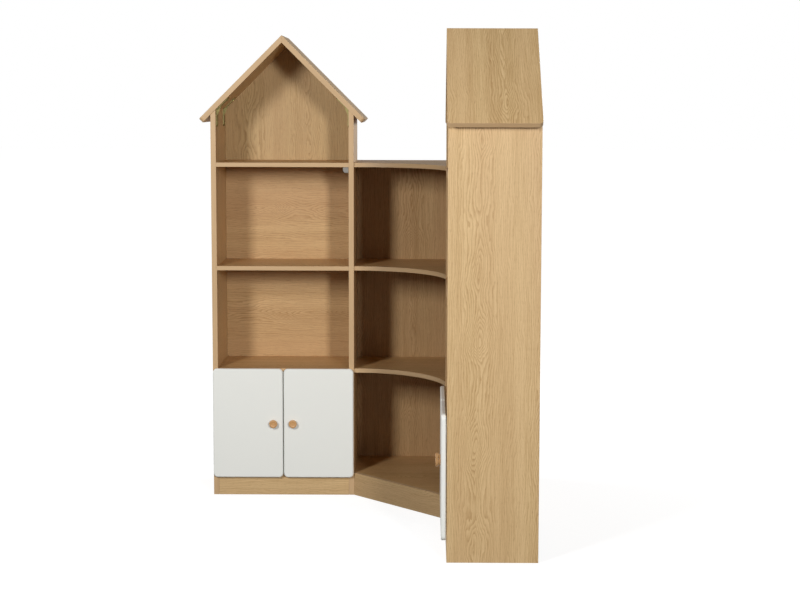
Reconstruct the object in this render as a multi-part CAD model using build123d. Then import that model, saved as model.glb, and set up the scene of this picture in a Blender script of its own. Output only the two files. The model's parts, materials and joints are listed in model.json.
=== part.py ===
"""House-shaped corner cabinet for a child's room.

Two gabled towers stand against two walls, with a quarter-round shelf unit between them in the room corner.
Everything is laid out from the room corner: the walls are the planes x = 0 and y = 0, the floor is z = 0.
The outer half of the left tower is modelled. Its inner half is the mirror image about the tower's middle,
and the right tower is the mirror image about the diagonal of the room corner. Sizes are in millimetres.
"""
from build123d import *

import os
from math import cos, pi, sin, sqrt

# Driving sizes of the whole cabinet
corner_leg = 600.0  # length of the corner unit along each wall
tower_width = 500.0
tower_depth = 280.0
eave_overhang = 40.0  # roof past the outer face of a side, measured level
roof_front_lip = 3.0  # roof past the front edge of a side

# Boards
side_thickness = 18.0
roof_thickness = 18.0
shelf_thickness = 15.0
plinth_thickness = 15.0
corner_back_thickness = 10.0
tower_back_thickness = 5.0
roof_corner_radius = 12.0

# Clear heights between the boards, from the floor up
plinth_height = 65.0  # up to the underside of a tower's floor panel
cupboard_height = 360.0
open_shelf_height = 349.0  # the middle and the upper compartment
gable_height = 442.0  # top shelf to the outside of the ridge

# Grooves that hold the tower's thin backs
back_setback = 5.0  # rear edge of a side to the groove
groove_depth = 6.0
groove_slack = 0.15  # each side of the back, and between its edge and the groove's end

# Corner shelves
shelf_arc_radius = 320.0
shelf_setback = 6.0  # front of a corner shelf behind the front edge of a tower

# Doors
door_thickness = 15.0
door_side_gap = 2.0  # back of a closed door to the front edge of a side
door_over_plinth = 1.0  # door's lower edge above the tower's plinth
door_over_shelf = 1.0  # door's upper edge above the lower shelf
door_reveal = 1.5  # side's outer face to the door's edge
door_centre_gap = 3.0
door_corner_radius = 15.0
door_edge_bevel = 3.0

# Knobs, turned from beech
knob_radius = 14.25
knob_height = 16.5
knob_neck_height = 6.0
knob_foot_radius = 9.5
knob_neck_radius = 11.5
knob_rim = 2.5  # height over which the head rounds off to its face, and swells above the neck
knob_rim_step = 2.2  # how much narrower the face is than the head
knob_dish_radius = 9.0
knob_dish_depth = 1.4
knob_flats = 40  # the turned surface is drawn with this many flats
knob_from_free_edge = 33.0

# Concealed hinges, each reduced to one pin
hinge_end_distance = 60.0  # hinge centre to the door's upper or lower edge
hinge_axis_from_side = 9.5  # side's outer face to the pin's axis
hinge_axis_from_front = 7.0  # door's outer face to the pin's axis
hinge_pin_radius = 1.2
hinge_running_slack = 0.05
cup_radius = 17.5
cup_depth = 12.5
cup_floor = 1.0
cup_edge_distance = 3.0  # door's edge to the cup's rim
cup_slack = 0.1
cup_wing_thickness = 1.2
cup_wing_width = 16.0
cup_wing_length = 52.0
pocket_width = 13.0
pocket_wall = 1.9
pocket_length = 24.0
arm_width = 11.0
arm_eye_radius = 2.7
arm_thickness = 3.0
arm_reach = 44.0  # arm behind the front edge of the side
plate_thickness = 2.5
plate_height = 34.0
plate_length = 36.0
plate_from_front_edge = 9.0

# Angle brackets under the roof
bracket_leg = 60.0
bracket_width = 40.0
bracket_thickness = 3.0
bracket_end_bevel = 5.0
bracket_front_inset = 10.0  # front edge of a side to the front bracket
bracket_spacing = 190.0
brackets_per_side = 2
bracket_rib_leg = 20.0
bracket_rib_width = 6.0

# Joining blocks under the top shelf
block_reach = 20.0  # out from the side
block_height = 20.0
block_length = 24.0
block_chamfer = 6.0
block_front_inset = 6.0
block_spacing = 200.0
blocks_per_shelf = 2

# Levels that follow, each to the upper face of its board
floor_panel_level = plinth_height + shelf_thickness
lower_shelf_level = floor_panel_level + cupboard_height + shelf_thickness
middle_shelf_level = lower_shelf_level + open_shelf_height + shelf_thickness
top_shelf_level = middle_shelf_level + open_shelf_height + shelf_thickness
under_top_shelf = top_shelf_level - shelf_thickness
ridge_height = top_shelf_level + gable_height

# Places that follow
outer_face = -(corner_leg + tower_width)  # x of the left tower's outer face
inner_face = -corner_leg  # x of the face that the left tower turns to the corner unit
tower_middle = (outer_face + inner_face) / 2
front_edge = -tower_depth  # y of the front edges of the left tower's sides
door_front = front_edge - door_side_gap - door_thickness
door_back = front_edge - door_side_gap
back_rear = -back_setback
back_front = back_rear - tower_back_thickness
footprint = corner_leg + tower_width + eave_overhang

diagonal = Plane((0, 0, 0), z_dir=(1, -1, 0))
middle_of_tower = Plane((tower_middle, 0, 0), z_dir=(1, 0, 0))
to_frame = Pos(footprint / 2, footprint / 2, 0)  # origin under the middle of the bounding box


def board(x, y, z):
    """A square-edged board between two limits on each axis."""
    size = (x[1] - x[0], y[1] - y[0], z[1] - z[0])
    return Pos(x[0], y[0], z[0]) * Box(*size, align=(Align.MIN, Align.MIN, Align.MIN))


def profile_along_y(points, y):
    """A board whose outline is drawn as seen from the front, as (x, z) points."""
    seen_from_front = Plane((0, y[1], 0), x_dir=(1, 0, 0), z_dir=(0, -1, 0))
    outline = seen_from_front * Polygon(*points, align=None)
    return extrude(outline, amount=y[1] - y[0], dir=(0, -1, 0))


def profile_upwards(points, z):
    """A board whose outline is drawn as seen from above, as (x, y) points."""
    outline = Pos(0, 0, z[0]) * Polygon(*points, align=None)
    return extrude(outline, amount=z[1] - z[0], dir=(0, 0, 1))


def rod(radius, start, end):
    """A round rod or hole between two points."""
    start, end = Vector(*start), Vector(*end)
    along = end - start
    return extrude(Plane(start, z_dir=along) * Circle(radius), amount=along.length)


def group(shapes):
    """Separate solids that share one node."""
    return Compound([solid for shape in shapes for solid in shape.solids()])


def roof_top(x):
    """Height of the roof's upper surface over a point of the left tower's width."""
    return ridge_height - abs(x - tower_middle)


def roof_underside(x):
    return roof_top(x) - roof_thickness * sqrt(2)


# Boards of the left tower

def outer_side():
    inside = outer_face + side_thickness
    outline = [
        (outer_face, 0),
        (inside, 0),
        (inside, roof_underside(inside)),
        (outer_face, roof_underside(outer_face)),
    ]
    groove = board(
        (inside - groove_depth, inside),
        (back_front - groove_slack, back_rear + groove_slack),
        (0, ridge_height),
    )
    return profile_along_y(outline, (front_edge, 0)) - groove


def roof_slope():
    eave = outer_face - eave_overhang
    square_cut = roof_thickness / sqrt(2)
    outline = [
        (tower_middle, roof_top(tower_middle)),
        (eave, roof_top(eave)),
        (eave + square_cut, roof_top(eave) - square_cut),
        (tower_middle, roof_underside(tower_middle)),
    ]
    slope = profile_along_y(outline, (front_edge - roof_front_lip, 0))
    eave_corners = slope.faces().sort_by(Axis.X)[0].edges().filter_by(Axis.Y, reverse=True)
    return fillet(eave_corners, roof_corner_radius)


def back_between(bottom, top):
    """A thin back whose long edges stand in the grooves of both sides."""
    edge = side_thickness - groove_depth + groove_slack
    return board(
        (outer_face + edge, inner_face - edge),
        (back_front, back_rear),
        (bottom, top),
    )


def gable_back():
    over_top_shelf = back_between(top_shelf_level, ridge_height)
    under_roof = [
        (outer_face, top_shelf_level),
        (inner_face, top_shelf_level),
        (inner_face, roof_underside(inner_face)),
        (tower_middle, roof_underside(tower_middle)),
        (outer_face, roof_underside(outer_face)),
    ]
    return over_top_shelf & profile_along_y(under_roof, (back_front, back_rear))


def tower_shelf(level):
    return board(
        (outer_face + side_thickness, inner_face - side_thickness),
        (front_edge, 0),
        (level - shelf_thickness, level),
    )


def tower_plinth():
    return board(
        (outer_face + side_thickness, inner_face - side_thickness),
        (front_edge, front_edge + plinth_thickness),
        (0, plinth_height),
    )


# Doors of the left tower, modelled for the outer side

hinge_x = outer_face + hinge_axis_from_side
hinge_y = door_front + hinge_axis_from_front
door_edge = outer_face + door_reveal
door_width = (tower_width - door_centre_gap) / 2 - door_reveal
door_bottom = plinth_height + door_over_plinth
door_top = lower_shelf_level + door_over_shelf
door_height = door_top - door_bottom
door_middle_height = (door_bottom + door_top) / 2
hinge_heights = (
    door_bottom + hinge_end_distance,
    door_top - hinge_end_distance,
)
cup_x = door_edge + cup_edge_distance + cup_radius
knob_x = door_edge + door_width - knob_from_free_edge


def door():
    from_front = Plane(
        (door_edge + door_width / 2, door_back, door_middle_height),
        x_dir=(1, 0, 0),
        z_dir=(0, -1, 0),
    )
    outline = RectangleRounded(door_width, door_height, door_corner_radius)
    blank = extrude(from_front * outline, amount=door_thickness)
    front_and_back = blank.faces().filter_by(Axis.Y)
    leaf = chamfer(front_and_back.edges(), door_edge_bevel)
    for height in hinge_heights:
        floor = door_back - cup_depth
        leaf -= rod(cup_radius + cup_slack, (cup_x, door_back, height), (cup_x, floor, height))
    return leaf


def ring(section):
    """Corners of one cross-section of a turned form, given as (height above the door, radius)."""
    height, radius = section
    turns = [2 * pi * step / knob_flats for step in range(knob_flats + 1)]
    return [
        Vector(knob_x + radius * cos(turn), door_front - height, door_middle_height + radius * sin(turn))
        for turn in turns
    ]


def turned(sections):
    """A turned form whose round surfaces are drawn with flats between its cross-sections."""
    ends = [ring(sections[0])[:-1], ring(sections[-1])[:-1]]
    faces = [Face(Wire.make_polygon(end, close=True)) for end in ends]
    for low, high in zip(sections, sections[1:]):
        low, high = ring(low), ring(high)
        for step in range(knob_flats):
            flat = [low[step], low[step + 1], high[step + 1], high[step]]
            faces.append(Face(Wire.make_polygon(flat, close=True)))
    return Solid(Shell(faces))


def knob():
    """A mushroom knob: a tapered neck, a rounded head and a shallow dish in its face."""
    return turned(
        [
            (0, knob_foot_radius),
            (knob_neck_height, knob_neck_radius),
            (knob_neck_height + knob_rim, knob_radius),
            (knob_height - knob_rim, knob_radius),
            (knob_height, knob_radius - knob_rim_step),
            (knob_height, knob_dish_radius + knob_dish_depth),
            (knob_height - knob_dish_depth, knob_dish_radius),
        ]
    )


def hinge_pin(height, radius=hinge_pin_radius):
    """Its ends meet the two walls of the cup's pocket."""
    half = pocket_width / 2
    return rod(radius, (hinge_x, hinge_y, height - half), (hinge_x, hinge_y, height + half))


def hinge_cup(height):
    mouth = (cup_x, door_back, height)
    cup = rod(cup_radius, mouth, (cup_x, door_back - cup_depth, height))
    wings_plane = Plane(mouth, x_dir=(1, 0, 0), z_dir=(0, 1, 0))
    wings = wings_plane * Rectangle(cup_wing_width, cup_wing_length)
    cup += extrude(wings, amount=cup_wing_thickness)
    pocket_start = cup_x - cup_radius + pocket_wall
    pocket = board(
        (pocket_start, pocket_start + pocket_length),
        (door_back - cup_depth + cup_floor, door_back + cup_wing_thickness),
        (height - pocket_width / 2, height + pocket_width / 2),
    )
    return cup - pocket


def hinge_arm(height):
    """The fixed half: an eye on the pin, a neck out of the cup, and a leg on the mounting plate."""
    leg_near = outer_face + side_thickness + plate_thickness
    leg_far = leg_near + arm_thickness
    neck_front = hinge_y - arm_thickness / 2
    neck_back = hinge_y + arm_thickness / 2
    leg_end = front_edge + arm_reach
    outline = [
        (hinge_x, neck_front),
        (leg_far, neck_front),
        (leg_far, leg_end),
        (leg_near, leg_end),
        (leg_near, neck_back),
        (hinge_x, neck_back),
    ]
    span = (height - arm_width / 2, height + arm_width / 2)
    eye = rod(arm_eye_radius, (hinge_x, hinge_y, span[0]), (hinge_x, hinge_y, span[1]))
    arm = profile_upwards(outline, span) + eye
    return arm - hinge_pin(height, hinge_pin_radius + hinge_running_slack)


def hinge_plate(height):
    inside = outer_face + side_thickness
    start = front_edge + plate_from_front_edge
    return board(
        (inside, inside + plate_thickness),
        (start, start + plate_length),
        (height - plate_height / 2, height + plate_height / 2),
    )


# Fittings of the left tower, modelled for the outer side

bracket_corner = (outer_face + side_thickness, roof_underside(outer_face + side_thickness))
bracket_starts = [
    front_edge + bracket_front_inset + step * bracket_spacing
    for step in range(brackets_per_side)
]


def roof_bracket(start):
    """A steel strip bent to lie on the side and on the underside of the roof, with a stiffening rib."""
    x, z = bracket_corner
    along = bracket_leg / sqrt(2)
    square = bracket_thickness / sqrt(2)
    bend = (x + bracket_thickness, z + bracket_thickness - bracket_thickness * sqrt(2))
    outline = [
        (x, z),
        (x + along, z + along),
        (x + along + square, z + along - square),
        bend,
        (x + bracket_thickness, z - bracket_leg),
        (x, z - bracket_leg),
    ]
    strip = profile_along_y(outline, (start, start + bracket_width))
    ends = strip.faces().sort_by(SortBy.AREA)[:2]
    strip = chamfer(ends.edges().filter_by(Axis.Y, reverse=True), bracket_end_bevel)
    reach = bracket_rib_leg / sqrt(2)
    rib_outline = [
        bend,
        (bend[0] + reach, bend[1] + reach),
        (bend[0], bend[1] - bracket_rib_leg),
    ]
    rib_start = start + (bracket_width - bracket_rib_width) / 2
    return strip + profile_along_y(rib_outline, (rib_start, rib_start + bracket_rib_width))


def joining_block(start):
    """A plastic block in the angle between the top shelf and the side that faces the corner unit."""
    wall = inner_face - side_thickness
    outline = [
        (wall, under_top_shelf),
        (wall - block_reach, under_top_shelf),
        (wall - block_reach, under_top_shelf - block_height + block_chamfer),
        (wall - block_reach + block_chamfer, under_top_shelf - block_height),
        (wall, under_top_shelf - block_height),
    ]
    return profile_along_y(outline, (start, start + block_length))


# The corner unit, symmetrical about the diagonal

def corner_outline(wall, front_start):
    """The square corner less a quarter round: the arc meets both towers at the same depth."""
    left_end, right_end = (-corner_leg, front_start), (front_start, -corner_leg)
    edges = [
        Line(left_end, (-corner_leg, wall)),
        Line((-corner_leg, wall), (wall, wall)),
        Line((wall, wall), (wall, -corner_leg)),
        Line((wall, -corner_leg), right_end),
        RadiusArc(left_end, right_end, shelf_arc_radius, short_sagitta=True),
    ]
    return make_face(edges)


def corner_shelf(level, wall):
    outline = corner_outline(wall, front_edge + shelf_setback)
    return extrude(Pos(0, 0, level - shelf_thickness) * outline, amount=shelf_thickness, dir=(0, 0, 1))


def corner_floor_panel():
    """Behind the plinth board, whose upper edge is level with it."""
    behind_plinth = front_edge + plinth_thickness * sqrt(2)
    wall = -corner_back_thickness
    outline = [
        (-corner_leg, behind_plinth),
        (-corner_leg, wall),
        (wall, wall),
        (wall, -corner_leg),
        (behind_plinth, -corner_leg),
    ]
    return profile_upwards(outline, (plinth_height, floor_panel_level))


def corner_plinth():
    behind_plinth = front_edge + plinth_thickness * sqrt(2)
    outline = [
        (-corner_leg, front_edge),
        (-corner_leg, behind_plinth),
        (behind_plinth, -corner_leg),
        (front_edge, -corner_leg),
    ]
    return profile_upwards(outline, (0, floor_panel_level))


# The whole cabinet, node by node

def both_towers(name, shape):
    """The left tower's piece and the right tower's mirror image."""
    return {"left_" + name: shape, "right_" + name: mirror(shape, about=diagonal)}


def both_halves(name, shape):
    """A piece of the outer half and its mirror image in the inner half, in both towers."""
    nodes = both_towers("outer_" + name, shape)
    nodes.update(both_towers("inner_" + name, mirror(shape, about=middle_of_tower)))
    return nodes


def in_all_places(shapes):
    """Copies on both sides of both towers."""
    in_left = list(shapes) + [mirror(shape, about=middle_of_tower) for shape in shapes]
    return group(in_left + [mirror(shape, about=diagonal) for shape in in_left])


def cabinet():
    nodes = {}
    nodes.update(both_halves("side", outer_side()))
    nodes.update(both_halves("roof_slope", roof_slope()))
    nodes.update(both_towers("gable_back", gable_back()))
    nodes.update(both_towers("upper_back", back_between(middle_shelf_level, under_top_shelf)))
    nodes.update(
        both_towers("middle_back", back_between(lower_shelf_level, middle_shelf_level - shelf_thickness))
    )
    nodes.update(
        both_towers("lower_back", back_between(floor_panel_level, lower_shelf_level - shelf_thickness))
    )
    nodes.update(both_towers("top_shelf", tower_shelf(top_shelf_level)))
    nodes.update(both_towers("middle_shelf", tower_shelf(middle_shelf_level)))
    nodes.update(both_towers("lower_shelf", tower_shelf(lower_shelf_level)))
    nodes.update(both_towers("floor_panel", tower_shelf(floor_panel_level)))
    nodes.update(both_towers("plinth", tower_plinth()))

    nodes.update(both_halves("door", door()))
    nodes.update(both_halves("knob", knob()))
    nodes.update(both_halves("hinge_cups", group([hinge_cup(height) for height in hinge_heights])))
    nodes.update(both_halves("hinge_pins", group([hinge_pin(height) for height in hinge_heights])))
    nodes["hinge_arms"] = in_all_places([hinge_arm(height) for height in hinge_heights])
    nodes["hinge_plates"] = in_all_places([hinge_plate(height) for height in hinge_heights])

    nodes["roof_brackets"] = in_all_places([roof_bracket(start) for start in bracket_starts])
    blocks = [
        joining_block(front_edge + block_front_inset + step * block_spacing)
        for step in range(blocks_per_shelf)
    ]
    nodes["joining_blocks"] = group(blocks + [mirror(block, about=diagonal) for block in blocks])

    nodes["corner_top"] = corner_shelf(top_shelf_level, 0)
    nodes["corner_middle_shelf"] = corner_shelf(middle_shelf_level, -corner_back_thickness)
    nodes["corner_lower_shelf"] = corner_shelf(lower_shelf_level, -corner_back_thickness)
    nodes["corner_floor_panel"] = corner_floor_panel()
    nodes["corner_plinth"] = corner_plinth()
    nodes["corner_left_back"] = board(
        (-corner_leg, 0), (-corner_back_thickness, 0), (0, under_top_shelf)
    )
    nodes["corner_right_back"] = board(
        (-corner_back_thickness, 0), (-corner_leg, -corner_back_thickness), (0, under_top_shelf)
    )
    return nodes


os.makedirs("parts", exist_ok=True)
for name, shape in cabinet().items():
    export_step(to_frame * shape, "parts/" + name + ".step")
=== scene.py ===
"""Looks of the house-shaped corner cabinet: oak laminate boards, white doors, beech knobs and steel fittings.

Lengths are in metres, in the cabinet's own frame. The corner of the room is at +X +Y, the left tower faces -Y
and the right tower faces -X. The towers mirror each other in the plane x = y, so what both have is worked out
for the left one, and in_tower takes it to the right one.
"""

import json
from math import cos, pi, radians, sin

import bmesh
import bpy
from mathutils import Euler, Matrix, Vector

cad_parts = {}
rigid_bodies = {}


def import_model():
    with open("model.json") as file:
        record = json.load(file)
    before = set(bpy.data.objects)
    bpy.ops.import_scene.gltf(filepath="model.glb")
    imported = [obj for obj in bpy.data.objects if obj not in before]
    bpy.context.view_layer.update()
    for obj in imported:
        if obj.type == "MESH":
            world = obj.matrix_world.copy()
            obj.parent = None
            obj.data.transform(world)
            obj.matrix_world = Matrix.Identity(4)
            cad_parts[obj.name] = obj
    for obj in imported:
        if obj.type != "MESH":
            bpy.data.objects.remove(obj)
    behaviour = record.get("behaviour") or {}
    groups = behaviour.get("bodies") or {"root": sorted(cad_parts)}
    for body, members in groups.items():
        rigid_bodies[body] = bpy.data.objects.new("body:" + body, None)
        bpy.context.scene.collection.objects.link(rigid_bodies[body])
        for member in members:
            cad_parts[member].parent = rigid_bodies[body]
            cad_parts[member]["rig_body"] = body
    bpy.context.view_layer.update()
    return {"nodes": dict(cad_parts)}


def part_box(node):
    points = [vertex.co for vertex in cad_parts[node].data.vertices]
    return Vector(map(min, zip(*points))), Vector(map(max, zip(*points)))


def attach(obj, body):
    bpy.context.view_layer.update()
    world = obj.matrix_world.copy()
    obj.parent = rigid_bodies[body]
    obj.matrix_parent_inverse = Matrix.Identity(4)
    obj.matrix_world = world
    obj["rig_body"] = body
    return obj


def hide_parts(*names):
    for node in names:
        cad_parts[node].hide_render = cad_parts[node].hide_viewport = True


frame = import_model()

mm = 0.001
X, Y, Z = Vector((1, 0, 0)), Vector((0, 1, 0)), Vector((0, 0, 1))

# Softened edges and joints
board_edge_radius = 0.6 * mm
back_edge_radius = 0.3 * mm
door_edge_radius = 1.45 * mm
steel_edge_radius = 0.35 * mm
bracket_edge_radius = 0.5 * mm
plastic_edge_radius = 1.2 * mm
smooth_below = radians(35)  # an edge that turns less than this belongs to a round form
same_point = 0.005 * mm
plinth_joint = 0.4 * mm  # the open joint at each end of a tower's plinth

# Oak print of the laminate
ring_width = 6.2 * mm
arch_spacing = 210 * mm  # from the middle of one cathedral to the next
heart_drift = 70 * mm  # how widely the heart wanders from end to end of a board
heart_sway = 30 * mm  # how widely the lines sway on their way
arch_length = 140 * mm
arch_narrowness = 600  # per square metre; at 40 mm from its heart an arch is about a third as long
arch_tip_radius_squared = 0.00001
ring_raggedness = 9 * mm
ring_unevenness = 2.2  # in rings, over a board's width
ring_profile = [(0, 1), (0.16, 0.75), (0.5, 0.2), (0.88, 0.0), (1, 0.85)]  # from dark late wood on
laminate_specular = 0.28
laminate_roughness = 0.42  # between the pores

# Painted shade on the print: the thin backs, the gable backs and the level boards are made darker and warmer
# to stand in for the shade inside the cabinet; the sides and the roof keep the plain print
plain_tint = (1, 1, 1, 1)
gable_back_painted_shade = (0.78, 0.77, 0.71, 1.0)
back_painted_shade = (0.87, 0.81, 0.77, 1.0)
level_board_painted_shade = (0.94, 0.85, 0.75, 1.0)

# Knobs, as (radius, height) or (radius, depth) from the seat or from the top
knob_neck = [(9.5 * mm, 0), (10.2 * mm, 3 * mm), (11.5 * mm, 6 * mm)]
knob_dish = [(9.6 * mm, 0), (8.4 * mm, 1.0 * mm), (6 * mm, 1.4 * mm), (0, 1.5 * mm)]
knob_round_over = 3 * mm
knob_steps = 64

# Screws: pan heads with a cross recess, in shares of their radius and their height
screw_height = 1.9 * mm
screw_profile = [(1, 0), (1, 0.4), (0.9, 0.8), (0.72, 1)]
screw_segments = 24
recess_arm = 0.13
recess_reach = 0.5
recess_depth = 0.75
cup_screw_radius = 3.1 * mm
knob_screw_radius = 4.2 * mm
plate_screw_radius = 3.2 * mm
arm_screw_radius = 2.6 * mm
bracket_screw_radius = 4.0 * mm
block_screw_radius = 3.0 * mm

# Where the screws sit on their fittings
cup_screw_spacing = 43.5 * mm
plate_screw_spacing = 23 * mm
arm_screw_spacing = 15 * mm
arm_thickness = 3 * mm
bracket_leg = 60 * mm
bracket_thickness = 3 * mm
bracket_screw_along = 49 * mm  # from the corner of the bracket
block_chamfer = 6 * mm

# Studio
floor_radius = 40.0
floor_drop = 0.5 * mm
floor_tone = 0.30  # shows the light and the shadow on the floor
floor_bounce = 0.08  # what the cabinet gets back from the floor
studio_fill = 0.02  # what it gets from the white all round
white_in_reflections = 0.45


# Shader nodes

def shade(red, green, blue):
    """A colour written as it looks on a screen, from 0 to 255, as the shader wants it."""
    parts = [part / 255 for part in (red, green, blue)]
    linear = [((part + 0.055) / 1.055) ** 2.4 if part > 0.04 else part / 12.92 for part in parts]
    return (*linear, 1.0)


def grey(level):
    return (level, level, level, 1.0)


def add(tree, kind, inputs=None, **settings):
    """A new node with its settings, and with values or links on its sockets."""
    node = tree.nodes.new("ShaderNode" + kind)
    for name, value in settings.items():
        setattr(node, name, value)
    for socket, value in (inputs or {}).items():
        connect(tree, node.inputs[socket], value)
    return node


def connect(tree, socket, value):
    """A link into a socket, or a plain value on it."""
    if isinstance(value, bpy.types.NodeSocket):
        tree.links.new(value, socket)
    else:
        socket.default_value = value


def maths(tree, operation, *values):
    """The outcome of one Math node."""
    return add(tree, "Math", dict(enumerate(values)), operation=operation).outputs[0]


def spread(tree, noise, width):
    """Noise from 0 to 1 turned into a shift to either side, this wide in all."""
    return maths(tree, "MULTIPLY_ADD", noise, width, -width / 2)


def plain_noise(tree, place, cycles, detail=2.0):
    """Noise from 0 to 1, with its cycles per metre."""
    return add(tree, "TexNoise", {"Vector": place, "Scale": cycles, "Detail": detail}).outputs[0]


def grain_noise(tree, place, cycles, detail=2.0, shift=(0.0, 0.0, 0.0)):
    """Noise from 0 to 1, with its cycles per metre along the grain, across it and through the board."""
    scaled = add(tree, "VectorMath", {0: place, 1: cycles, 2: shift}, operation="MULTIPLY_ADD")
    return plain_noise(tree, scaled.outputs[0], 1.0, detail)


def mixed(tree, factor, first, second, blend="MIX"):
    """Two colours mixed, from the first at 0 to the second at 1."""
    node = add(tree, "Mix", {0: factor, 6: first, 7: second}, data_type="RGBA", blend_type=blend)
    return node.outputs[2]


def ramp(tree, value, stops):
    """A grey ramp through (position, value) stops."""
    node = add(tree, "ValToRGB", {0: value})
    elements = node.color_ramp.elements
    while len(elements) < len(stops):
        elements.new(0.5)
    for element, (position, level) in zip(elements, stops):
        element.position = position
        element.color = grey(level)
    return node.outputs[0]


def new_group(name, outputs):
    """A node group that takes a place and gives the named outputs."""
    group = bpy.data.node_groups.new(name, "ShaderNodeTree")
    group.interface.new_socket("Place", in_out="INPUT", socket_type="NodeSocketVector")
    for output, kind in outputs.items():
        group.interface.new_socket(output, in_out="OUTPUT", socket_type="NodeSocket" + kind)
    place = group.nodes.new("NodeGroupInput").outputs[0]
    return group, place, group.nodes.new("NodeGroupOutput")


def new_material(name):
    material = bpy.data.materials.new(name)
    material.use_nodes = True
    tree = material.node_tree
    tree.nodes.clear()
    surface = add(tree, "BsdfPrincipled")
    add(tree, "OutputMaterial", {"Surface": surface.outputs[0]})
    return material, tree, surface


def set_surface(tree, surface, **inputs):
    """Sets the sockets of a surface. An underscore stands for the space in a socket's name."""
    for name, value in inputs.items():
        connect(tree, surface.inputs[name.replace("_", " ")], value)


def object_place(tree):
    return add(tree, "TexCoord").outputs["Object"]


# Oak print

def distance_from_heart(tree, place):
    """How far a point lies across the grain from the nearest heart, whose line drifts and sways."""
    drift = spread(tree, grain_noise(tree, place, (1.3, 2.2, 2.2)), heart_drift)
    sway = spread(tree, grain_noise(tree, place, (7, 16, 16), 2.0, (8.3, 0.9, 6.6)), heart_sway)
    across = add(tree, "SeparateXYZ", {0: place}).outputs[1]
    swayed = maths(tree, "ADD", across, maths(tree, "ADD", drift, sway))
    return maths(tree, "PINGPONG", swayed, arch_spacing / 2)


def arch_rise(tree, place, from_heart):
    """How far the rings are shifted along a heart, which draws them out into arches.

    The noise is read again, further back where it is high. So it rises slowly and falls fast, and most arches
    point the same way.
    """
    cycles = (4.5, 3, 3)
    along, across, through = (0.6, 3.3, 8.4)
    wave = grain_noise(tree, place, cycles, 1.0, (along, across, through))
    further_back = maths(tree, "MULTIPLY_ADD", wave, -along, along)
    shift = add(tree, "CombineXYZ", {0: further_back, 1: across, 2: through}).outputs[0]
    slow_rise = grain_noise(tree, place, cycles, 1.0, shift)
    squared = maths(tree, "POWER", from_heart, 2.0)
    near_heart = maths(tree, "EXPONENT", maths(tree, "MULTIPLY", squared, -arch_narrowness))
    return maths(tree, "MULTIPLY", spread(tree, slow_rise, -arch_length), near_heart)


def late_wood(tree, place, from_heart):
    """From 0 in pale early wood to 1 in dark late wood, ring by ring."""
    from_tip = maths(tree, "MULTIPLY_ADD", from_heart, from_heart, arch_tip_radius_squared)
    radius = maths(tree, "ADD", maths(tree, "SQRT", from_tip), arch_rise(tree, place, from_heart))
    flame = grain_noise(tree, place, (20, 110, 110), 3.0, (1.7, 8.2, 3.1))
    ragged = maths(tree, "ADD", radius, spread(tree, flame, ring_raggedness))
    unevenness = grain_noise(tree, place, (0.9, 26, 26), 1.0, (4.4, 9.9, 0.3))
    uneven = maths(tree, "MULTIPLY", unevenness, ring_unevenness)
    rings = maths(tree, "MULTIPLY_ADD", ragged, 1 / ring_width, uneven)
    return ramp(tree, maths(tree, "FRACT", rings), ring_profile)


def oak_print():
    """Plain-sawn oak: x runs along the grain, y across it and z through the board.

    A saw cut beside a wavy heart shows the rings as nested arches, with straight grain between them. Streaks
    and fibres tone the rings, and open pores lie over them, most in dark wood.
    """
    outputs = {"Colour": "Color", "Roughness": "Float", "Height": "Float"}
    tree, place, out = new_group("oak_print", outputs)
    pale, dark = shade(217, 186, 138), shade(175, 140, 91)
    warm, pore_brown = shade(199, 162, 119), shade(130, 94, 58)

    from_heart = distance_from_heart(tree, place)
    ring = late_wood(tree, place, from_heart)
    boldness = {"From Min": 20 * mm, "From Max": 70 * mm, "To Min": 0.7, "To Max": 0.38}
    bold = add(tree, "MapRange", {"Value": from_heart, **boldness}).outputs[0]
    streak = grain_noise(tree, place, (0.7, 30, 30), 3.0, (2.2, 6.1, 7.7))
    fibre = grain_noise(tree, place, (9, 300, 300), 3.0, (5.1, 0.4, 2.9))
    tone = maths(tree, "MULTIPLY_ADD", ring, bold, maths(tree, "SUBTRACT", streak, 0.36))
    tone = maths(tree, "ADD", tone, spread(tree, fibre, 1.1))

    pore_noise = grain_noise(tree, place, (70, 1900, 1900), 1.0, (3.3, 3.9, 1.2))
    pore = ramp(tree, pore_noise, [(0.56, 0), (0.68, 1)])
    pores = maths(tree, "MULTIPLY", pore, maths(tree, "MULTIPLY_ADD", ring, 0.7, 0.3))

    hue = grain_noise(tree, place, (0.5, 9, 9), 1.0, (9.2, 1.4, 4.8))
    body = mixed(tree, tone, pale, dark)
    body = mixed(tree, ramp(tree, hue, [(0.35, 0), (0.7, 0.5)]), body, warm)
    colour = mixed(tree, maths(tree, "MULTIPLY", pores, 0.5), body, pore_brown)
    roughness = maths(tree, "MULTIPLY_ADD", pores, 0.25, laminate_roughness)
    height = maths(tree, "MULTIPLY_ADD", pores, -1.0, maths(tree, "MULTIPLY", fibre, 0.3))
    connect(tree, out.inputs["Colour"], colour)
    connect(tree, out.inputs["Roughness"], roughness)
    connect(tree, out.inputs["Height"], height)


def edge_band_print():
    """Plastic edge band: fine straight streaks along the edge, whichever way it runs."""
    tree, place, out = new_group("edge_band_print", {"Colour": "Color"})
    line = grain_noise(tree, place, (5, 5, 520), 3.0)
    patch = grain_noise(tree, place, (9, 9, 40), 1.0, (3.0, 1.0, 2.0))
    tone = maths(tree, "MULTIPLY_ADD", line, 1.1, maths(tree, "MULTIPLY_ADD", patch, 0.5, -0.4))
    connect(tree, out.inputs["Colour"], mixed(tree, tone, shade(208, 176, 135), shade(188, 154, 113)))


# Finishes

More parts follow.
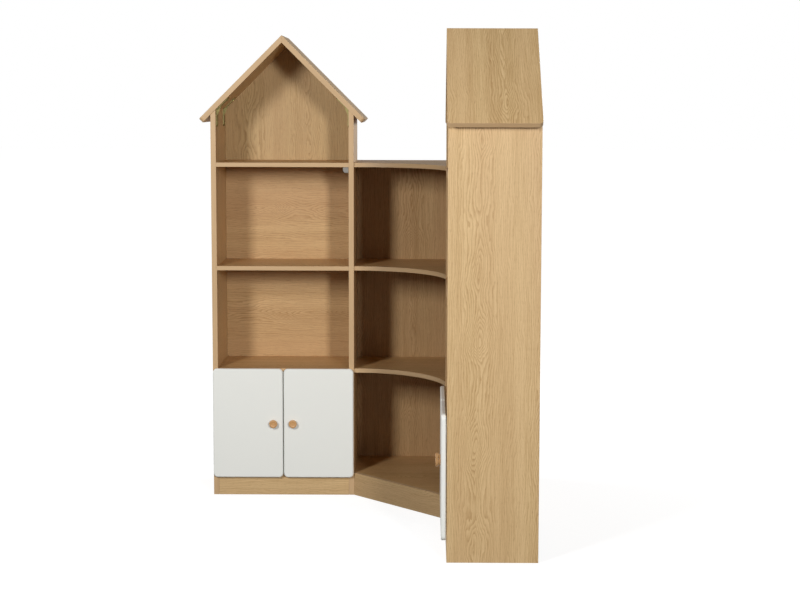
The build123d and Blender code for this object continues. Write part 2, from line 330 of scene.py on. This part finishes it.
def board_place(tree, centre, grain, thickness, shift=(0.0, 0.0, 0.0)):
    """Object coordinates turned to a board: along the grain, across it and through it."""
    turn = Matrix((grain, thickness.cross(grain), thickness)).transposed()
    inputs = {"Vector": object_place(tree), "Location": centre, "Rotation": turn.to_euler()}
    turned = add(tree, "Mapping", inputs, vector_type="TEXTURE")
    return add(tree, "VectorMath", {0: turned.outputs[0], 1: shift}, operation="ADD").outputs[0]


def laminate(node, grain, thickness, shift, painted_shade):
    """Oak laminate whose print runs along one board, and starts at its own place in the print."""
    low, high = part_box(node)
    material, tree, surface = new_material("laminate_" + node)
    oak = add(tree, "Group", node_tree=bpy.data.node_groups["oak_print"])
    connect(tree, oak.inputs[0], board_place(tree, (low + high) / 2, grain, thickness, shift))
    bump = add(tree, "Bump", {"Height": oak.outputs["Height"], "Strength": 0.35, "Distance": 0.2 * mm})
    # The print is multiplied by its board's painted shade: darker and warmer on backs, gables and level
    # boards
    set_surface(
        tree, surface, Base_Color=mixed(tree, 1.0, oak.outputs["Colour"], painted_shade, "MULTIPLY"),
        Roughness=oak.outputs["Roughness"], Normal=bump.outputs[0], Specular_IOR_Level=laminate_specular,
    )
    return material


edge_bands = {}


def edge_band(thickness):
    """Edge band for every board that is this way up."""
    key = "_".join(f"{round(part * 10)}" for part in thickness)
    if key not in edge_bands:
        material, tree, surface = new_material("edge_band_" + key)
        grain = thickness.orthogonal().normalized()
        band = add(tree, "Group", node_tree=bpy.data.node_groups["edge_band_print"])
        connect(tree, band.inputs[0], board_place(tree, Vector(), grain, thickness))
        set_surface(
            tree, surface, Base_Color=band.outputs["Colour"], Roughness=laminate_roughness,
            Specular_IOR_Level=laminate_specular,
        )
        edge_bands[key] = material
    return edge_bands[key]


def white_lacquer():
    """Satin white lacquer with the faint ripple that spraying leaves."""
    material, tree, surface = new_material("white_lacquer")
    place = object_place(tree)
    cloud = plain_noise(tree, place, 5.0)
    ripple = plain_noise(tree, place, 260.0)
    bump = add(tree, "Bump", {"Height": ripple, "Strength": 0.10, "Distance": 0.3 * mm})
    colour = mixed(tree, cloud, shade(240, 240, 234), shade(237, 238, 232))
    rough = maths(tree, "MULTIPLY_ADD", ripple, 0.06, 0.33)
    set_surface(tree, surface, Base_Color=colour, Roughness=rough, Normal=bump.outputs[0], IOR=1.5)
    return material


def beech():
    """Clear-lacquered beech: warm brown, with short dark flecks along the grain."""
    material, tree, surface = new_material("beech")
    place = object_place(tree)
    band = grain_noise(tree, place, (260, 260, 26))
    fleck_noise = grain_noise(tree, place, (1500, 1500, 260), 1.0, (2.0, 5.0, 1.0))
    fleck = maths(tree, "MULTIPLY", ramp(tree, fleck_noise, [(0.58, 0), (0.66, 1)]), 0.4)
    body = mixed(tree, band, shade(216, 170, 116), shade(190, 140, 88))
    colour = mixed(tree, fleck, body, shade(160, 104, 62))
    bump = add(tree, "Bump", {"Height": band, "Strength": 0.15, "Distance": 0.2 * mm})
    set_surface(tree, surface, Base_Color=colour, Roughness=0.38, Normal=bump.outputs[0], IOR=1.5)
    return material


def plated_steel(name, first, second, roughness, patch_size):
    """Plated steel, whose plating varies a little in colour and polish."""
    material, tree, surface = new_material(name)
    place = object_place(tree)
    patch = plain_noise(tree, place, 1 / patch_size, 3.0)
    grit = plain_noise(tree, place, 900.0)
    colour = mixed(tree, ramp(tree, patch, [(0.35, 0), (0.65, 1)]), first, second)
    rough = maths(tree, "MULTIPLY_ADD", grit, 0.12, roughness)
    bump = add(tree, "Bump", {"Height": grit, "Strength": 0.08, "Distance": 0.1 * mm})
    set_surface(tree, surface, Base_Color=colour, Roughness=rough, Normal=bump.outputs[0], Metallic=0.8)
    return material


def nickel_plating():
    return plated_steel("nickel", shade(214, 212, 207), shade(200, 198, 192), 0.32, 20 * mm)


def yellow_zinc_plating():
    return plated_steel("yellow_zinc", shade(164, 150, 100), shade(140, 134, 88), 0.42, 12 * mm)


def grey_plastic():
    """Moulded grey plastic with a fine matt grain."""
    material, tree, surface = new_material("grey_plastic")
    grit = plain_noise(tree, object_place(tree), 700.0, 3.0)
    colour = mixed(tree, grit, shade(140, 136, 130), shade(126, 122, 116))
    bump = add(tree, "Bump", {"Height": grit, "Strength": 0.25, "Distance": 0.2 * mm})
    set_surface(tree, surface, Base_Color=colour, Roughness=0.5, Normal=bump.outputs[0])
    return material


# Making and placing pieces


def body_of(node):
    return frame["nodes"][node]["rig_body"]


def in_tower(tower, vector):
    """A place or a direction in the left tower, mirrored for the right one, or the other way round."""
    return vector.copy() if tower == "left" else Vector((vector.y, vector.x, vector.z))


def standing(place, out):
    """The move that takes a form from upright at the origin to a place, pointing outwards."""
    return Matrix.Translation(place) @ out.to_track_quat("Z", "Y").to_matrix().to_4x4()


def merged_copy(node):
    """The CAD node's form, with its loose triangles joined."""
    bm = bmesh.new()
    bm.from_mesh(frame["nodes"][node].data)
    bmesh.ops.remove_doubles(bm, verts=bm.verts, dist=same_point)
    return bm


def softened_copy(node, radius, segments=2):
    """The CAD node's form in whole faces, with its sharp edges rounded over."""
    bm = merged_copy(node)
    bmesh.ops.dissolve_limit(bm, angle_limit=radians(0.5), verts=bm.verts, edges=bm.edges)
    sharp = [edge for edge in bm.edges if edge.is_manifold and edge.calc_face_angle(0.0) > smooth_below]
    bmesh.ops.bevel(
        bm, geom=sharp, offset=radius, offset_type="OFFSET", segments=segments, profile=0.5,
        affect="EDGES", clamp_overlap=True, material=-1,
    )
    return bm


def finished(bm, name, materials):
    """A new piece from a bmesh: faces outward, smooth where the form is round, sharp at its edges."""
    bmesh.ops.recalc_face_normals(bm, faces=bm.faces)
    for face in bm.faces:
        face.smooth = True
    for edge in bm.edges:
        edge.smooth = edge.is_manifold and edge.calc_face_angle(0.0) < smooth_below
    mesh = bpy.data.meshes.new(name)
    bm.to_mesh(mesh)
    bm.free()
    for material in materials:
        mesh.materials.append(material)
    piece = bpy.data.objects.new(name, mesh)
    bpy.context.scene.collection.objects.link(piece)
    normals = piece.modifiers.new("flat faces stay flat", "WEIGHTED_NORMAL")
    normals.keep_sharp = True
    return piece


def stands_for(piece, node):
    """Puts a piece in a CAD node's place and on its body."""
    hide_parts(node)
    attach(piece, body_of(node))


# Boards

# How far a cathedral's middle lies from the board's, on the boards that the photograph shows best
hearts = {
    "right_outer_side": -45 * mm,
    "right_outer_roof_slope": -35 * mm,
    "left_gable_back": -150 * mm,
    "left_upper_back": -5 * mm,
    "left_middle_back": 15 * mm,
    "corner_left_back": 105 * mm,
}
heart_step = 37 * mm  # on the other boards it lies a number of these to one side

# From one board to the next, the print is cut this much further along and this much deeper
print_step = 1.93
print_depth_step = 0.61

# The way of the grain and the way through the board
tower_boards = {
    "outer_side": (Z, X),
    "inner_side": (Z, X),
    "outer_roof_slope": ((X + Z).normalized(), (Z - X).normalized()),
    "inner_roof_slope": ((Z - X).normalized(), (X + Z).normalized()),
    "gable_back": (Z, Y),
    "upper_back": (X, Y),
    "middle_back": (X, Y),
    "lower_back": (X, Y),
    "top_shelf": (X, Z),
    "middle_shelf": (X, Z),
    "lower_shelf": (X, Z),
    "floor_panel": (X, Z),
    "plinth": (X, Y),
}
corner_boards = {
    "corner_top": (X, Z),
    "corner_middle_shelf": (X, Z),
    "corner_lower_shelf": (X, Z),
    "corner_floor_panel": (X, Z),
    "corner_plinth": ((X - Y).normalized(), (X + Y).normalized()),
    "corner_left_back": (Z, Y),
    "corner_right_back": (Z, X),
}


def print_shift(number, node):
    """Where a board's middle lies in the print."""
    heart = hearts.get(node, heart_step * (number * 5 % 11 - 5))
    return (print_step * number, -heart, print_depth_step * number)


def painted_shade_for(node, thickness):
    # Gable backs get the darkest painted shade, for the shadow under the roof slopes
    if node.endswith("_gable_back"):
        return gable_back_painted_shade
    # The other thin backs get painted shade, for the shade at the back of the compartments
    if node.endswith("_back"):
        return back_painted_shade
    # Level boards get painted shade, for the shade on shelves and floors; the sides and the roof keep the
    # plain print
    return level_board_painted_shade if thickness == Z else plain_tint


def shortened(bm, node, grain, gap):
    """Leaves a gap at each end of a board that runs along X or Y."""
    low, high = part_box(node)
    factors = Vector((1, 1, 1)) - grain * (2 * gap / (high - low).dot(grain))
    bmesh.ops.scale(bm, verts=bm.verts, vec=factors, space=Matrix.Translation((low + high) / -2))


def make_board(node, grain, thickness, shift):
    """One board: laminate on its two faces, edge band round it."""
    bm = softened_copy(node, back_edge_radius if node.endswith("_back") else board_edge_radius)
    if node in ("left_plinth", "right_plinth"):
        shortened(bm, node, grain, plinth_joint)
    for face in bm.faces:
        face.material_index = 0 if abs(face.normal.dot(thickness)) > 0.99 else 1
    oak = laminate(node, grain, thickness, shift, painted_shade_for(node, thickness))
    stands_for(finished(bm, node + "_board", [oak, edge_band(thickness)]), node)


def make_boards():
    oak_print()
    edge_band_print()
    boards = dict(corner_boards)
    for tower in ("left", "right"):
        for name, (grain, thickness) in tower_boards.items():
            boards[f"{tower}_{name}"] = (in_tower(tower, grain), in_tower(tower, thickness))
    for number, (node, (grain, thickness)) in enumerate(boards.items()):
        make_board(node, grain, thickness, print_shift(number, node))


# Screws

def solids_of(node):
    """The tower of each separate solid, and its low and high corner as if it stood in the left tower."""
    bm = merged_copy(node)
    unseen = set(bm.verts)
    solids = []
    for first in bm.verts:
        if first not in unseen:
            continue
        unseen.remove(first)
        waiting = [first]
        places = []
        while waiting:
            vertex = waiting.pop()
            places.append(vertex.co.copy())
            near = {edge.other_vert(vertex) for edge in vertex.link_edges} & unseen
            unseen -= near
            waiting += near
        low, high = Vector(map(min, zip(*places))), Vector(map(max, zip(*places)))
        tower = "left" if low.x < low.y else "right"
        solids.append((tower, in_tower(tower, low), in_tower(tower, high)))
    bm.free()
    return solids


def towards_middle(low, high):
    """Where a fitting's face lies that looks at the middle of the left tower, and the way it looks."""
    shelf_low, shelf_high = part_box("left_top_shelf")
    if low.x + high.x < shelf_low.x + shelf_high.x:
        return high.x, X
    return low.x, -X


def loop_edges(bm, ring):
    """The edges between neighbours in a closed ring of vertices."""
    return [edge for edge in bm.edges if all(vertex in ring for vertex in edge.verts)]


def screw_rings(head, radius):
    """The round wall of a screw's head, open above and below."""
    rings = []
    for share, level in screw_profile:
        lift = Matrix.Translation(Z * level * screw_height)
        bmesh.ops.create_circle(head, segments=screw_segments, radius=share * radius, matrix=lift)
        head.verts.ensure_lookup_table()
        rings.append(head.verts[-screw_segments:])
    for lower, upper in zip(rings, rings[1:]):
        bmesh.ops.bridge_loops(head, edges=loop_edges(head, lower) + loop_edges(head, upper))
    return rings


def cross_recess(head, radius, top_ring):
    """Closes the top of a screw's head round a sunk cross."""
    arm, reach = recess_arm * radius, recess_reach * radius
    corners = [(reach, -arm), (reach, arm), (arm, arm)]
    turns = [Matrix.Rotation(quarter_turn * pi / 2, 3, "Z") for quarter_turn in range(4)]
    places = [turn @ Vector((*corner, screw_height)) for turn in turns for corner in corners]
    cross = [head.verts.new(place) for place in places]
    cross_edges = [head.edges.new(pair) for pair in zip(cross, cross[1:] + cross[:1])]
    rims = loop_edges(head, top_ring) + cross_edges
    bmesh.ops.triangle_fill(head, edges=rims, use_beauty=True, normal=Z)
    walls = bmesh.ops.extrude_edge_only(head, edges=cross_edges)["geom"]
    floor_verts = [item for item in walls if isinstance(item, bmesh.types.BMVert)]
    bmesh.ops.translate(head, verts=floor_verts, vec=-recess_depth * screw_height * Z)
    bmesh.ops.contextual_create(head, geom=floor_verts)


def add_screw(bm, tower, seat, out, radius):
    """A screw on its seat in the left tower, or at the same place in the right one."""
    head = bmesh.new()
    cross_recess(head, radius, screw_rings(head, radius)[-1])
    seat, out = in_tower(tower, seat), in_tower(tower, out)
    own_turn = 40 * (seat.x + seat.y + seat.z)  # the crosses in a tower stand at odd angles
    place = standing(seat, out) @ Matrix.Rotation(own_turn, 4, "Z")
    bmesh.ops.transform(head, verts=head.verts, matrix=place)
    mesh = bpy.data.meshes.new("screw")
    head.to_mesh(mesh)
    head.free()
    bm.from_mesh(mesh)
    bpy.data.meshes.remove(mesh)


def screws_on(bm, name, node, material):
    """The screws as one piece, which goes with a fitting's body and slot."""
    piece = finished(bm, name, [material])
    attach(piece, body_of(node))


# Doors, knobs and hinges

def make_door(node, lacquer):
    bm = softened_copy(node, door_edge_radius, 4)
    stands_for(finished(bm, node + "_leaf", [lacquer]), node)


def quarter(centre, radius, start, steps=6):
    """Points (radius, height) of a quarter round that begins at an angle and turns up and back."""
    turns = [start + step * pi / 2 / steps for step in range(steps + 1)]
    return [(centre[0] + radius * cos(turn), centre[1] + radius * sin(turn)) for turn in turns]


def make_knob(node, out, wood):
    """A turned knob: tapered neck, rounded head, shallow dish."""
    low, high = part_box(node)
    span = high - low
    height = abs(span.dot(out))
    lower_centre = (span.z / 2 - knob_round_over, knob_neck[-1][1] + knob_round_over)
    upper_centre = (span.z / 2 - knob_round_over, height - knob_round_over)
    section = [(0, 0)] + knob_neck
    section += quarter(lower_centre, knob_round_over, -pi / 2)
    section += quarter(upper_centre, knob_round_over, 0)
    section += [(radius, height - depth) for radius, depth in knob_dish]
    bm = bmesh.new()
    line = [bm.verts.new((radius, 0, level)) for radius, level in section]
    edges = [bm.edges.new(pair) for pair in zip(line, line[1:])]
    bmesh.ops.spin(
        bm, geom=line + edges, cent=(0, 0, 0), axis=Z, angle=2 * pi, steps=knob_steps, use_merge=True,
    )
    bmesh.ops.remove_doubles(bm, verts=bm.verts, dist=0.001 * mm)
    seat = (low + high) / 2 - out * height / 2
    bmesh.ops.transform(bm, verts=bm.verts, matrix=standing(seat, out))
    stands_for(finished(bm, node + "_turned", [wood]), node)


def make_steel_fitting(node, radius, plating):
    stands_for(finished(softened_copy(node, radius), node + "_steel", [plating]), node)


def make_door_screws(tower, half, nickel):
    """Screws in the wings of the hinge cups, and the knob's screw on the door's back."""
    bm = bmesh.new()
    cups = f"{tower}_{half}_hinge_cups"
    for _, low, high in solids_of(cups):
        centre = (low + high) / 2
        for way in (-0.5, 0.5):
            seat = Vector((centre.x, high.y, centre.z + way * cup_screw_spacing))
            add_screw(bm, tower, seat, Y, cup_screw_radius)
    door_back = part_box(f"left_{half}_door")[1].y
    for _, low, high in solids_of(f"{tower}_{half}_knob"):
        centre = (low + high) / 2
        add_screw(bm, tower, Vector((centre.x, door_back, centre.z)), Y, knob_screw_radius)
    screws_on(bm, f"{tower}_{half}_door_screws", cups, nickel)


def make_hinge_screws(nickel):
    """Two screws in each mounting plate, and two that set each arm."""
    bm = bmesh.new()
    for tower, low, high in solids_of("hinge_plates"):
        face, inwards = towards_middle(low, high)
        centre = (low + high) / 2
        for way in (-0.5, 0.5):
            seat = Vector((face, centre.y, centre.z + way * plate_screw_spacing))
            add_screw(bm, tower, seat, inwards, plate_screw_radius)
            seat = Vector((face, centre.y + way * arm_screw_spacing, centre.z)) + inwards * arm_thickness
            add_screw(bm, tower, seat, inwards, arm_screw_radius)
    screws_on(bm, "hinge_screws", "hinge_plates", nickel)


def make_doors(nickel):
    lacquer, wood = white_lacquer(), beech()
    for tower in ("left", "right"):
        out = in_tower(tower, -Y)
        for half in ("outer", "inner"):
            leaf = f"{tower}_{half}"
            make_door(leaf + "_door", lacquer)
            make_knob(leaf + "_knob", out, wood)
            make_steel_fitting(leaf + "_hinge_cups", steel_edge_radius, nickel)
            make_steel_fitting(leaf + "_hinge_pins", steel_edge_radius, nickel)
            make_door_screws(tower, half, nickel)
    make_steel_fitting("hinge_arms", steel_edge_radius, nickel)
    make_steel_fitting("hinge_plates", steel_edge_radius, nickel)
    make_hinge_screws(nickel)


# Brackets and joining blocks

def bracket_screws(bm):
    """One screw in each leg of the brackets: the leg down the side, and the leg up the roof slope."""
    for tower, low, high in solids_of("roof_brackets"):
        face, inwards = towards_middle(low, high)
        corner = Vector((low.x + high.x - face, (low.y + high.y) / 2, low.z + bracket_leg))
        for along, off in ((-Z, inwards), ((inwards + Z).normalized(), (inwards - Z).normalized())):
            seat = corner + along * bracket_screw_along + off * bracket_thickness
            add_screw(bm, tower, seat, off, bracket_screw_radius)


def block_screws(bm):
    """Two screws in each joining block: one into the side, one up into the top shelf."""
    for tower, low, high in solids_of("joining_blocks"):
        face, inwards = towards_middle(low, high)
        centre = (low + high) / 2
        seat = Vector((face, centre.y, centre.z + block_chamfer / 2))
        add_screw(bm, tower, seat, inwards, block_screw_radius)
        seat = Vector((centre.x, centre.y, low.z)) - inwards * block_chamfer / 2
        add_screw(bm, tower, seat, -Z, block_screw_radius)


def make_fittings():
    zinc = yellow_zinc_plating()
    make_steel_fitting("roof_brackets", bracket_edge_radius, zinc)
    blocks = softened_copy("joining_blocks", plastic_edge_radius, 3)
    stands_for(finished(blocks, "joining_blocks_plastic", [grey_plastic()]), "joining_blocks")
    bm = bmesh.new()
    bracket_screws(bm)
    block_screws(bm)
    screws_on(bm, "bracket_and_block_screws", "roof_brackets", zinc)


# Studio: floor, lights and camera

def seen_white(tree):
    """The studio's white: 1 straight before the camera, less in a reflection, 0 as light on the cabinet."""
    path = add(tree, "LightPath").outputs
    return maths(tree, "MULTIPLY_ADD", path["Is Glossy Ray"], white_in_reflections, path["Is Camera Ray"])


def pale_floor():
    """A floor that keeps the cabinet's shadow, and fades to the white of the background far away."""
    material = bpy.data.materials.new("floor")
    material.use_nodes = True
    tree = material.node_tree
    tree.nodes.clear()
    distance = add(tree, "VectorMath", {0: object_place(tree)}, operation="LENGTH").outputs["Value"]
    fade = {"Value": distance, "From Min": 0.8, "From Max": 4.0, "To Min": 0.84, "To Max": 1.0}
    glow = add(tree, "Emission", {"Strength": add(tree, "MapRange", fade).outputs[0]})
    lit = add(tree, "BsdfDiffuse", {"Color": grey(floor_tone)})
    seen = add(tree, "AddShader", {0: lit.outputs[0], 1: glow.outputs[0]})
    unseen = add(tree, "BsdfDiffuse", {"Color": grey(floor_bounce)})
    surface = add(tree, "MixShader", {0: seen_white(tree), 1: unseen.outputs[0], 2: seen.outputs[0]})
    add(tree, "OutputMaterial", {"Surface": surface.outputs[0]})
    return material


def make_floor():
    bm = bmesh.new()
    bmesh.ops.create_circle(bm, cap_ends=True, radius=floor_radius, segments=96)
    mesh = bpy.data.meshes.new("floor")
    bm.to_mesh(mesh)
    bm.free()
    mesh.materials.append(pale_floor())
    floor = bpy.data.objects.new("floor", mesh)
    floor.location.z = -floor_drop
    bpy.context.scene.collection.objects.link(floor)


def make_background():
    world = bpy.data.worlds.new("studio")
    world.use_nodes = True
    tree = world.node_tree
    tree.nodes.clear()
    dim = add(tree, "Background", {"Color": grey(1), "Strength": studio_fill})
    white = add(tree, "Background", {"Color": grey(1), "Strength": 1.0})
    mix = add(tree, "MixShader", {0: seen_white(tree), 1: dim.outputs[0], 2: white.outputs[0]})
    add(tree, "OutputWorld", {"Surface": mix.outputs[0]})
    bpy.context.scene.world = world


def softbox(name, place, target, width, height, power):
    """A soft rectangular lamp that looks at a target. Its power is in watts."""
    lamp = bpy.data.lights.new(name, "AREA")
    lamp.shape = "RECTANGLE"
    lamp.size = width
    lamp.size_y = height
    lamp.energy = power
    light = bpy.data.objects.new(name, lamp)
    light.location = place
    light.rotation_euler = (Vector(target) - Vector(place)).to_track_quat("-Z", "Y").to_euler()
    bpy.context.scene.collection.objects.link(light)


def make_lights():
    """Two tall softboxes in front, and two behind that show the rear and the left side."""
    softbox("left_softbox", (-1.59, -2.76, 1.9), (0, 0, 0.8), 0.45, 0.9, 66)
    softbox("right_softbox", (2.15, -6.2, 2.2), (0, 0, 0.8), 0.6, 1.2, 214)
    softbox("rear_softbox", (2.7, 3.0, 1.9), (0.2, 0.2, 0.8), 1.2, 1.2, 80)
    softbox("side_softbox", (-3.1, 1.5, 1.7), (-0.5, 0.4, 0.8), 1.0, 1.2, 42)


def make_camera():
    """The photograph's viewpoint, fitted to it: in front of the cabinet, a little above its top shelves."""
    data = bpy.data.cameras.new("camera")
    data.sensor_width = 36.0
    data.lens = 70.46
    data.shift_x = -0.0264
    data.shift_y = -0.060
    data.clip_end = 200.0
    camera = bpy.data.objects.new("camera", data)
    camera.location = (0.2346, -5.1850, 1.4021)
    camera.rotation_euler = Euler((pi / 2 - 0.0967, -0.0027, 0.0054))
    bpy.context.scene.collection.objects.link(camera)
    bpy.context.scene.camera = camera


make_camera()
make_boards()
make_doors(nickel_plating())
make_fittings()
make_floor()
make_background()
make_lights()
bpy.context.scene.view_settings.view_transform = "Standard"
